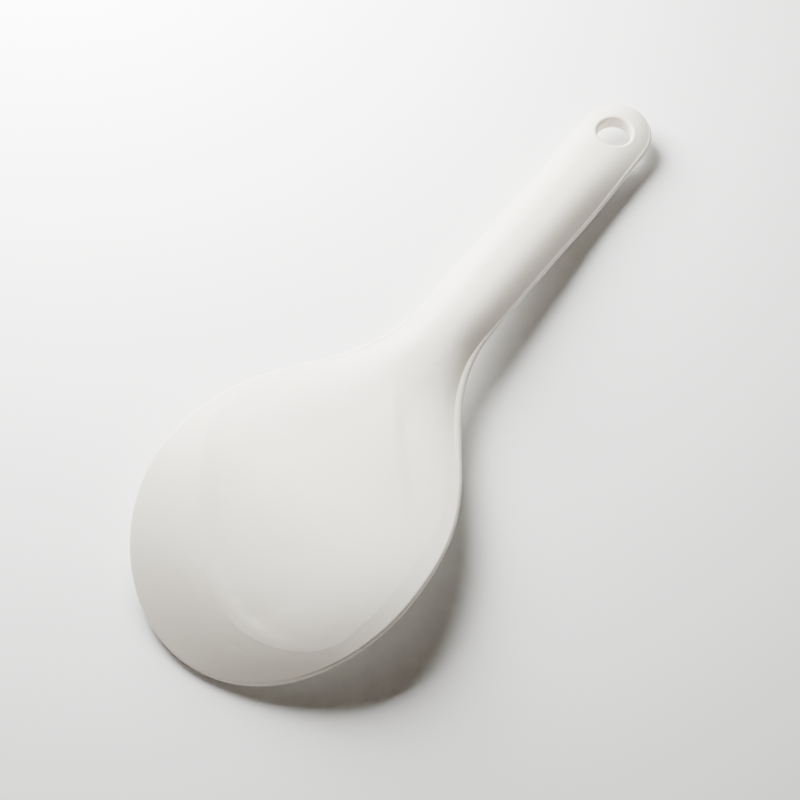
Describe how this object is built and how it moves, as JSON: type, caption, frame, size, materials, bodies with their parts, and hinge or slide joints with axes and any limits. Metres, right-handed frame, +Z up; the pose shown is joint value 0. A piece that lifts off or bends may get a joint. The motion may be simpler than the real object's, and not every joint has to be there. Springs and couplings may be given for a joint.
{
  "type": "rice paddle",
  "caption": "Moulded plastic rice paddle: broad arched blade with a shallow floor, rounded cored grip with a back cover, and a ring to hang it by.",
  "frame": {"origin": "on the surface that the paddle lies on, midway between the tip of the blade and the end of the handle, on the line that halves the paddle", "axes": "+X along the paddle from the tip of the blade to the hang ring, +Y across it, +Z up, out of the face that carries the rice"},
  "size_m": [0.2, 0.0766, 0.0155],
  "materials": {
    "off_white_plastic": "satin, lightly rubbed",
    "cover_plastic": "satin, finely grained"
  },
  "bodies": {
    "root": {"paddle_body": "off_white_plastic", "handle_back_cover": "cover_plastic"}
  },
  "joints": []
}
